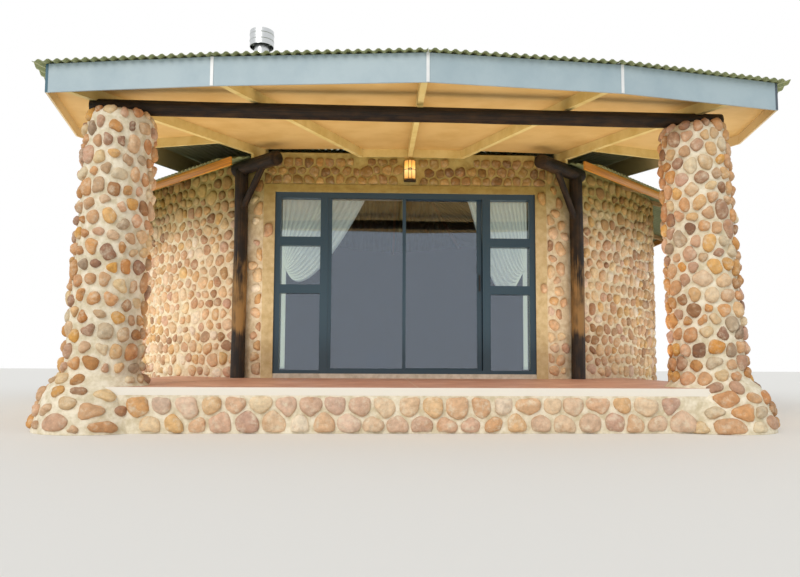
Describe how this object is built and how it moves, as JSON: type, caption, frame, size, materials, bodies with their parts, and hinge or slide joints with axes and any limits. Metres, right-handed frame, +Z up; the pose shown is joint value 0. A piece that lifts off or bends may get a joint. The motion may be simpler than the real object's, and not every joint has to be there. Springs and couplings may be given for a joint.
{
  "type": "rondavel hut",
  "caption": "Round stone hut with an octagonal corrugated roof, a sliding glass door and a stone-pillared terrace under a faceted veranda roof.",
  "frame": {"origin": "centre of the round wall on the lowest ground line", "axes": "+Z up, the sliding door and terrace face -Y, +X to the right seen from the front"},
  "size_m": [9.061, 11.2124, 5.515],
  "materials": {
    "concrete": "trowelled",
    "pale_concrete": "smooth cast sill",
    "wall_stone": "mixed field stones in beige mortar",
    "plaster": "sand plaster",
    "blue_aluminium": "slate blue powder coat",
    "glass": "clear",
    "black_plastic": "satin",
    "rubble": "rubble and earth",
    "cobble_stone": "large field stones in off-white mortar",
    "terrace_screed": "terracotta coloured screed",
    "dark_pole": "tarred round pole",
    "painted_timber": "cream paint",
    "ceiling_board": "tan paint",
    "blue_fascia": "pale blue paint",
    "white_trim": "white paint",
    "roof_iron": "olive green coating",
    "pine": "sawn",
    "varnished_pine": "varnished",
    "bright_metal": "bright galvanised sheet",
    "lamp_metal": "dark bronze paint",
    "amber_glass": "amber",
    "curtain_cloth": "sheer white"
  },
  "bodies": {
    "hut": {"hut_floor": "concrete", "door_threshold": "pale_concrete", "right_front_wall": "wall_stone", "right_wall": "wall_stone", "right_back_wall": "wall_stone", "back_wall": "wall_stone", "left_back_wall": "wall_stone", "left_wall": "wall_stone", "left_front_wall": "wall_stone", "door_head_wall": "wall_stone", "plaster_surround": "plaster", "door_frame": "blue_aluminium", "left_side_glass": "glass", "right_side_glass": "glass", "fixed_door_panel": "blue_aluminium", "fixed_door_glass": "glass", "terrace_fill": "rubble", "front_plinth": "cobble_stone", "side_plinths": "cobble_stone", "terrace_floor": "terrace_screed", "left_pillar": "cobble_stone", "right_pillar": "cobble_stone", "front_beam": "dark_pole", "beam_saddles": "painted_timber", "wall_posts": "dark_pole", "bracket_poles": "dark_pole", "knee_braces": "dark_pole", "veranda_rafters": "painted_timber", "veranda_ceiling": "ceiling_board", "ceiling_trimmers": "painted_timber", "veranda_fascia": "blue_fascia", "fascia_cover_strips": "white_trim", "veranda_sheets": "roof_iron", "roof_rafters": "pine", "roof_sheets": "roof_iron", "hip_caps": "roof_iron", "eave_boards": "varnished_pine", "flue_pipe": "bright_metal", "flue_cowl": "bright_metal", "lamp_frame": "lamp_metal", "lamp_shade": "amber_glass", "curtain_rail": "white_trim", "curtains": "curtain_cloth"},
    "sliding_door": {"sliding_door_panel": "blue_aluminium", "sliding_door_glass": "glass", "sliding_door_handle": "black_plastic"}
  },
  "joints": [
    {"name": "door_slide", "type": "slide", "parent": "hut", "child": "sliding_door", "axis": [-1, 0, 0], "range_m": [0, 0.82]}
  ]
}
